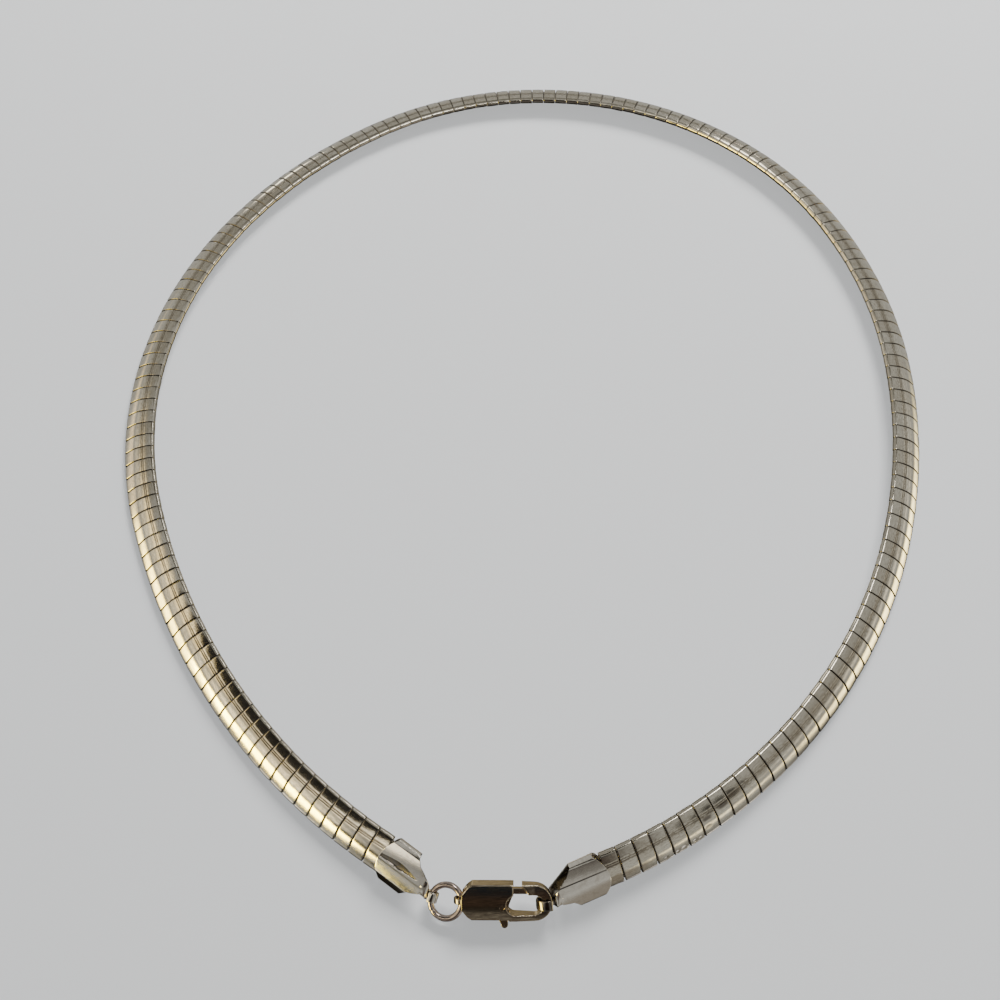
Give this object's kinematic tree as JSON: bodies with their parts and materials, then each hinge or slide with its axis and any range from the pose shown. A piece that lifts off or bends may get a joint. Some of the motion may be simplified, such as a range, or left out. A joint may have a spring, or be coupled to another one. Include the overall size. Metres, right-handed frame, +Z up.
{
  "type": "omega chain necklace",
  "caption": "Closed collar of domed metal plates crimped side by side over a woven metal band, with crimped end caps, a jump ring and a lobster clasp with a sprung gate.",
  "frame": {"origin": "middle of the bounding box on the table that the necklace lies on", "axes": "+Z up from the table, +Y along the loop's length from the clasp to the back of the collar, +X from the end cap with the jump ring towards the end cap with the hook"},
  "size_m": [0.126, 0.1479, 0.0047],
  "materials": {
    "plates": "satin, finely brushed along the chain, lightly tarnished",
    "core": "woven wire, dull",
    "cap_left": "polished, lightly worn",
    "cap_right": "polished, lightly worn",
    "jump_ring": "polished",
    "clasp_body": "polished, lightly worn",
    "clasp_lever": "polished",
    "clasp_pin": "polished"
  },
  "bodies": {
    "necklace": {"plates": "plates", "core": "core", "cap_left": "cap_left", "cap_right": "cap_right", "jump_ring": "jump_ring", "clasp_body": "clasp_body", "clasp_pin": "clasp_pin"},
    "lever": {"clasp_lever": "clasp_lever"}
  },
  "joints": [
    {"name": "gate_hinge", "type": "hinge", "parent": "necklace", "child": "lever", "pos_m": [-0.00687, -0.07085, 0.00169], "axis": [0.0212, 0.3577, -0.9336], "range_deg": [0, 28], "stiffness_Nm_per_rad": 0.004, "springref_deg": -28.65}
  ]
}
